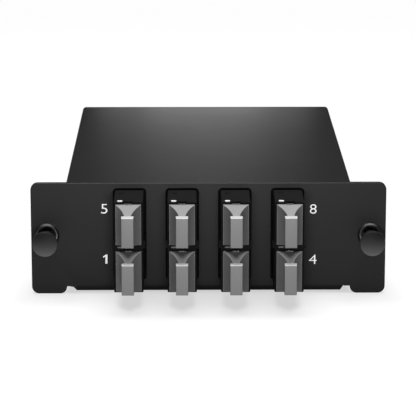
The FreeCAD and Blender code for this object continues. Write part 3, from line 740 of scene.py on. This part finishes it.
class CASSETTE_OT_latches(bpy.types.Operator):
    """Finish the latches in the panel's ears"""

    bl_idname = "cassette.latches"
    bl_label = "Latches"

    def execute(self, context):
        edge = context.scene.cassette_edges.latch
        black = {"grommet": finish("grommet_plastic"), "plunger": finish("latch_plastic")}
        for side in SIDES:
            for part, body in (("grommet", "case"), ("plunger", f"plunger_{side}")):
                node, name = f"latch_{part}_{side}", f"{part}_{side}"
                made = soft_piece(node, name, black[part], edge, body, "latch_black", steps=1)
                if part == "grommet":
                    paint_mouth_light(made.data, middle(f"latch_plunger_{side}"))
        spots = []
        for side in SIDES:
            centre = middle(f"latch_plunger_{side}")
            spots.append((Vector((centre.x, PANEL_FACE + SEAL_DEPTH, centre.z)), FORWARD))
        seals = grown("grommet_seals", seal_tree(finish("latch_plastic")), spots, {})
        dress(seals, "case", "latch_black")
        return {"FINISHED"}


def surface_of(node):
    """A CAD node's surface, to find heights on."""
    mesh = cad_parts[node].data
    places = [vertex.co.copy() for vertex in mesh.vertices]
    return BVHTree.FromPolygons(places, [tuple(face.vertices) for face in mesh.polygons])


def top_spot(node, across, back):
    """The spot on top of a coupler that lies so far left of its centre, seen from
    its mouth, and so far behind the mouth."""
    low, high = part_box(node)
    facing = 1 if node.startswith("front") else -1
    mouth = low.y if facing > 0 else high.y
    above = Vector(((low.x + high.x) / 2 - facing * across, mouth + facing * back, 1.0))
    return surface_of(node).ray_cast(above, Vector((0, 0, -1)))[0]


class CASSETTE_OT_couplers(bpy.types.Operator):
    """Finish the couplers and the strips between them"""

    bl_idname = "cassette.couplers"
    bl_label = "Couplers"

    def execute(self, context):
        edge = context.scene.cassette_edges.coupler
        black = finish("black_plastic")
        for node in port_names("coupler"):
            soft_piece(node, f"{node}_sleeve", black, edge, "case", "coupler_black")
        for column in COLUMNS:
            node = f"coupler_spacer_{column}"
            soft_piece(node, f"coupler_strip_{column}", black, edge / 2, "case", "coupler_black")
        return {"FINISHED"}


BED = 0.05 * MM  # how deep a mark is sunk in what it stands on


def bedded(top):
    """A place and a turn for a mark that lies sunk in a level surface."""
    return top + Vector((0, 0, -BED)), UPRIGHT


def put_marks(name, title, look, spots, size, slot):
    """Marks of one size, its width, length and height, on the case at every spot."""
    tree = mark_tree(title, finish(look))
    sizes = dict(zip(("Width", "Length", "Height"), size))
    dress(grown(name, tree, spots, sizes), "case", slot)


class CASSETTE_OT_coupler_marks(bpy.types.Operator):
    """Put the marks, the black nubs and the keyway covers on the couplers; the covers are dark
    pieces that stand in for shade over the caps' keys
    """

    bl_idname = "cassette.coupler_marks"
    bl_label = "Marks on the couplers"

    def execute(self, context):
        marks = context.scene.cassette_marks
        tops = [f"front_coupler_{port}" for port in UPPER_PORTS]
        tops += [f"rear_coupler_{port}" for port in REAR_PORTS]

        inset = marks.dash_length / 2 + BED
        spots = [bedded(top_spot(node, marks.dash_offset, inset)) for node in tops]
        size = (marks.dash_width, marks.dash_length, marks.dash_height + BED)
        put_marks("coupler_dashes", "Coupler dash", "mark_white", spots, size, None)

        spots = []
        for column in COLUMNS:
            low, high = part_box(f"coupler_spacer_{column}")
            x = (low.x + high.x) / 2 - marks.dash_offset
            spots.append((Vector((x, low.y + BED, (low.z + high.z) / 2)), FORWARD))
        size = (marks.dash_width, marks.strip_mark, 2 * BED)
        # These marks are grey as painted shade; the marks themselves are white.
        put_marks("strip_dashes", "Strip dash", "mark_grey", spots, size, None)

        spots = [bedded(top_spot(node, marks.nub_offset, marks.nub_setback)) for node in tops]
        size = (marks.nub_size, marks.nub_size, marks.nub_height + BED)
        put_marks("coupler_nubs", "Coupler nub", "black_plastic", spots, size, "coupler_black")

        # Each keyway gets a black cover over the cap's key: a dark piece standing in for the shade
        # in the keyway.
        spots = []
        for node in tops:
            # The height is taken beside the keyway, where the sleeve is whole.
            top = top_spot(node, marks.dash_offset, marks.keyway_length / 2)
            spots.append(bedded(Vector((middle(node).x, top.y, top.z))))
        size = (marks.keyway_width, marks.keyway_length, marks.keyway_height + BED)
        put_marks("keyway_covers", "Keyway cover", "black_plastic", spots, size, "coupler_black")
        return {"FINISHED"}


KEY_HEIGHT = 0.24 * MM  # of the key on top of a cap
GRIP_DEPTH = 2.35 * MM  # from the tip of a cap to the back of its grip
WING_SHADE = 0.35  # the sides of a cap behind its grip take this much of the painted shade
GRIP_TOP = 0.25  # a face of the grip that looks up more than this gets a painted highlight
WING_TOP = 0.5  # a face behind the grip that looks up more than this takes no painted shade


class CASSETTE_OT_caps(bpy.types.Operator):
    """Finish the dust caps"""

    bl_idname = "cassette.caps"
    bl_label = "Dust caps"

    def execute(self, context):
        edge = context.scene.cassette_edges.cap
        grey = finish("cap_plastic")
        for node in port_names("dust_cap"):
            body = node.replace("dust_cap", "cap")
            made = soft_piece(node, f"{node}_moulding", grey, edge, body, "cap_grey")
            low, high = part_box(node)
            tip = low.y if node.startswith("front") else high.y
            # The key and the sides behind the grip get painted shade, the top of the grip a
            # painted highlight.
            shade = made.data.attributes.new("shade", "FLOAT", "FACE")
            pale = made.data.attributes.new("pale", "FLOAT", "FACE")
            for face in made.data.polygons:
                on_key = face.center.z > high.z - KEY_HEIGHT
                on_grip = abs(face.center.y - tip) < GRIP_DEPTH
                on_wing = not on_grip and face.normal.z < WING_TOP
                shade.data[face.index].value = 1.0 if on_key else WING_SHADE * on_wing
                pale.data[face.index].value = float(on_grip and face.normal.z > GRIP_TOP)
        return {"FINISHED"}


class CASSETTE_OT_screws(bpy.types.Operator):
    """Put the countersunk screws in the sides of the cover"""

    bl_idname = "cassette.screws"
    bl_label = "Cover screws"

    def execute(self, context):
        low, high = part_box("cover_screws")
        rows = (low.y + SCREW_HEAD, high.y - SCREW_HEAD)
        spots = []
        for x, turn in ((low.x, -90), (high.x, 90)):
            face = Quaternion((0, 1, 0), math.radians(turn))
            spots += [(Vector((x, y, (low.z + high.z) / 2)), face) for y in rows]
        tree = screw_tree(finish("black_zinc"))
        screws = grown("side_screws", tree, spots, {"Head": SCREW_HEAD})
        dress(screws, "case", "screw_black", "cover_screws")
        return {"FINISHED"}


class CASSETTE_OT_insides(bpy.types.Operator):
    """Give the pieces inside the case their finishes"""

    bl_idname = "cassette.insides"
    bl_label = "Plugs, boots and leads"

    def execute(self, context):
        groups = {
            "plug_plastic": port_names("inner_plug"),
            "ferrule": ["front_ferrules", "rear_ferrules"],
            "boot_rubber": ["front_boots", "rear_boots"],
            "fibre_jacket": [f"fibre_lead_{port}" for port in FRONT_PORTS],
        }
        for name, nodes in groups.items():
            for node in nodes:
                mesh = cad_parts[node].data
                mesh.materials.clear()
                mesh.materials.append(finish(name))
        return {"FINISHED"}


# The left, right, low and high end of each printed number, in millimetres.
PORT_NUMBERS = {
    "5": (-29.0, -27.27, 22.39, 25.03),
    "1": (-28.61, -27.41, 8.4, 10.93),
    "8": (27.4, 29.18, 22.25, 24.84),
    "4": (27.27, 29.34, 8.19, 10.8),
}
# The corners of the 1, as shares of its width and height.
FLAGGED_ONE = ((0.54, 0), (1, 0), (1, 1), (0.64, 1), (0, 0.78), (0.1, 0.64), (0.54, 0.8))
# How much thinner the strokes of the other numbers are than the font's.
STROKE_TRIM = {"5": 0.006, "8": 0.009, "4": 0.011}
PRINT_BED = 0.01 * MM  # how deep the print is sunk in the panel


def number_outline(digit):
    """A number as a thin curve solid. The built-in font's 1 has no flag, so it is drawn."""
    if digit == "1":
        words = bpy.data.curves.new("number_1", "CURVE")
        words.dimensions = "2D"
        words.fill_mode = "BOTH"
        stroke = words.splines.new("POLY")
        stroke.points.add(len(FLAGGED_ONE) - 1)
        for point, (x, y) in zip(stroke.points, FLAGGED_ONE):
            point.co = (x, y, 0, 1)
        stroke.use_cyclic_u = True
    else:
        words = bpy.data.curves.new(f"number_{digit}", "FONT")
        words.body = digit
        words.offset = -STROKE_TRIM[digit]
        words.resolution_u = 6
    words.extrude = 0.01  # any depth serves, because the print's own depth replaces it
    return words


class CASSETTE_OT_numbers(bpy.types.Operator):
    """Print the port numbers on the panel"""

    bl_idname = "cassette.numbers"
    bl_label = "Port numbers"

    def execute(self, context):
        depth = context.scene.cassette_marks.print_depth
        for digit, (left, right, low, high) in PORT_NUMBERS.items():
            source = bpy.data.objects.new(f"number_{digit}_words", number_outline(digit))
            context.scene.collection.objects.link(source)
            made = evaluated(source, f"port_number_{digit}")
            mesh = made.data
            spots = [vertex.co.copy() for vertex in mesh.vertices]
            lows = [min(spot[i] for spot in spots) for i in range(3)]
            highs = [max(spot[i] for spot in spots) for i in range(3)]
            for vertex, spot in zip(mesh.vertices, spots):
                u, v, w = ((spot[i] - lows[i]) / (highs[i] - lows[i]) for i in range(3))
                x = (left + (right - left) * u) * MM
                z = (low + (high - low) * v) * MM
                vertex.co = (x, PANEL_FACE + PRINT_BED - w * (depth + PRINT_BED), z)
            shape = bmesh.new()
            shape.from_mesh(mesh)
            bmesh.ops.remove_doubles(shape, verts=shape.verts, dist=1e-7)
            bmesh.ops.recalc_face_normals(shape, faces=shape.faces)
            shape.to_mesh(mesh)
            shape.free()
            mesh.materials.clear()
            mesh.materials.append(finish("print_white"))
            dress(made, "case", None)
        return {"FINISHED"}


# -------------------------------------------------------------------- stage


def seen_directly(start, reflected):
    """1 for what the camera sees and, as strong as stated, for what gloss and glass show."""
    camera = start.node("ShaderNodeLightPath", output="Is Camera Ray")
    gloss = start.node("ShaderNodeLightPath", output="Is Glossy Ray")
    glass = start.node("ShaderNodeLightPath", output="Is Transmission Ray")
    shown = start.math("MAXIMUM", gloss, glass) * reflected
    return start.math("MAXIMUM", camera, shown)


FLOOR_PATCHES = 3.0  # cells of the floor's drift in tone, per metre
FLOOR_DRIFT = 0.005


def floor_material(stage):
    """A plain matt floor that looks white and throws back less light than it shows."""
    material, start = new_shader("Floor")
    slow = noise(start, FLOOR_PATCHES, 2.0)
    dim = rgba(stage.floor_colour, 1 - FLOOR_DRIFT)
    pale = blended(start, slow, dim, rgba(stage.floor_colour, 1 + FLOOR_DRIFT))
    shown = seen_directly(start, stage.floor_shine)
    base = blended(start, shown, rgba(stage.floor_bounce), pale)
    sockets = {"Base Color": base, "Roughness": 0.9, "Specular IOR Level": 0.0}
    matt = start.node("ShaderNodeBsdfPrincipled", None, sockets)
    white = rgba(stage.floor_white)
    glow = start.node("ShaderNodeEmission", None, {"Color": white, "Strength": 1.0})
    place = start.node("ShaderNodeTexCoord", output="Object")
    out = start.node("ShaderNodeVectorMath", {"operation": "LENGTH"}, {0: place}, output="Value")
    faded = (out - stage.floor_near) * (1 / (stage.floor_far - stage.floor_near))
    faded = start.math("MINIMUM", start.math("MAXIMUM", faded, stage.floor_lift), 1.0)
    shown_white = start.node("ShaderNodeLightPath", output="Is Camera Ray") * faded
    mixed = start.node("ShaderNodeMixShader", None, {0: shown_white, 1: matt, 2: glow})
    start.node("ShaderNodeOutputMaterial", None, {"Surface": mixed})
    return material


def light_sky(sky):
    """A dim even light from all around, behind which the camera sees white."""
    world = bpy.data.worlds.new("Sky")
    bpy.context.scene.world = world
    world.use_nodes = True
    world.node_tree.nodes.clear()
    start = Signal(world.node_tree)
    strength = start.math("MAXIMUM", seen_directly(start, sky), sky)
    light = start.node(
        "ShaderNodeBackground", None, {"Color": (1, 1, 1, 1), "Strength": strength}
    )
    start.node("ShaderNodeOutputWorld", None, {"Surface": light})


def aimed(made, place, target):
    """Puts a lamp or camera at a place, looking at a target."""
    made.location = place
    way = Vector(target) - Vector(place)
    made.rotation_euler = way.to_track_quat("-Z", "Y").to_euler()
    bpy.context.scene.collection.objects.link(made)
    return made


def soft_lamp(name, power, size, place, target):
    """A soft oval lamp, which the camera doesn't see."""
    lamp = bpy.data.lights.new(name, "AREA")
    lamp.shape = "ELLIPSE"
    lamp.size, lamp.size_y = size
    lamp.energy = power
    made = aimed(bpy.data.objects.new(name, lamp), place, target)
    made.visible_camera = False
    return made


OVER_COVER = (0.0, 0.02, 0.03)
# Each lamp's name, the setting with its power, its size, place and target. The back
# lamp's core stands nearer than the lamp, because of two at one place only one shines.
LAMPS = (
    ("Top lamp", "top_lamp", (2.6, 2.6), (0.0, -0.12, 2.2), (0.0, 0.0, 0.02)),
    ("Front lamp", "front_lamp", (0.08, 0.04), (0.0, -0.3, 0.05), (0.0, -0.06, 0.02)),
    ("Back lamp", "back_lamp", (0.08, 0.02), (0.0002, 0.134, 0.041), OVER_COVER),
    ("Back core", "back_core", (0.045, 0.02), (0.0002, 0.131, 0.041), OVER_COVER),
)

CAMERA_PLACE = (-0.005282, -0.655539, 0.168498)
CAMERA_TARGET = (-0.00013732, -0.0545, 0.02386461)
CAMERA_LENS = 198.207


class CASSETTE_OT_stage(bpy.types.Operator):
    """Set up the floor, the light and the camera"""

    bl_idname = "cassette.stage"
    bl_label = "Floor, light and camera"

    def execute(self, context):
        stage = context.scene.cassette_stage
        shape = bmesh.new()
        bmesh.ops.create_circle(shape, cap_ends=True, segments=96, radius=stage.floor_radius)
        mesh = bpy.data.meshes.new("floor")
        shape.to_mesh(mesh)
        shape.free()
        mesh.materials.append(floor_material(stage))
        placed("floor", mesh)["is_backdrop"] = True

        light_sky(stage.sky)
        for name, setting, size, place, target in LAMPS:
            soft_lamp(name, getattr(stage, setting), size, place, target)

        camera = bpy.data.cameras.new("Camera")
        camera.lens = CAMERA_LENS
        camera.sensor_width = 36.0
        camera.clip_start = 0.01
        camera.clip_end = 100.0
        made = aimed(bpy.data.objects.new("Camera", camera), CAMERA_PLACE, CAMERA_TARGET)
        context.scene.camera = made
        context.scene.view_settings.view_transform = "Standard"
        return {"FINISHED"}


class CASSETTE_PT_panel(bpy.types.Panel):
    """The pieces of the cassette, in the order in which they are made"""

    bl_idname = "CASSETTE_PT_panel"
    bl_label = "Fibre Cassette"
    bl_space_type = "VIEW_3D"
    bl_region_type = "UI"
    bl_category = "Cassette"

    def draw(self, context):
        for operator in OPERATORS:
            self.layout.operator(operator.bl_idname)
        for title, name in (
            ("Colours", "cassette_finish"),
            ("Edges", "cassette_edges"),
            ("Marks", "cassette_marks"),
            ("Stage", "cassette_stage"),
        ):
            box = self.layout.box()
            box.label(text=title)
            group = getattr(context.scene, name)
            for setting in group.__annotations__:
                box.prop(group, setting)


SETTINGS = {
    "cassette_finish": CassetteFinishSettings,
    "cassette_edges": CassetteEdgeSettings,
    "cassette_marks": CassetteMarkSettings,
    "cassette_stage": CassetteStageSettings,
}
OPERATORS = (
    CASSETTE_OT_sheet_metal,
    CASSETTE_OT_latches,
    CASSETTE_OT_couplers,
    CASSETTE_OT_coupler_marks,
    CASSETTE_OT_caps,
    CASSETTE_OT_screws,
    CASSETTE_OT_insides,
    CASSETTE_OT_numbers,
    CASSETTE_OT_stage,
)


def register():
    for group in SETTINGS.values():
        bpy.utils.register_class(group)
    for name, group in SETTINGS.items():
        setattr(bpy.types.Scene, name, bpy.props.PointerProperty(type=group))
    for operator in OPERATORS:
        bpy.utils.register_class(operator)
    bpy.utils.register_class(CASSETTE_PT_panel)


def unregister():
    bpy.utils.unregister_class(CASSETTE_PT_panel)
    for operator in reversed(OPERATORS):
        bpy.utils.unregister_class(operator)
    for name in SETTINGS:
        delattr(bpy.types.Scene, name)
    for group in reversed(SETTINGS.values()):
        bpy.utils.unregister_class(group)


def plain(value):
    """Plain lists of numbers."""
    if isinstance(value, (int, float)):
        return float(value)
    return [plain(part) for part in value]


def main():
    register()
    bpy.ops.cassette.sheet_metal()
    bpy.ops.cassette.latches()
    bpy.ops.cassette.couplers()
    bpy.ops.cassette.coupler_marks()
    bpy.ops.cassette.caps()
    bpy.ops.cassette.screws()
    bpy.ops.cassette.insides()
    bpy.ops.cassette.numbers()
    bpy.ops.cassette.stage()
    {"cad": plain(CAD_BOX), "visual": plain(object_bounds())}


if __name__ == "__main__":
    main()
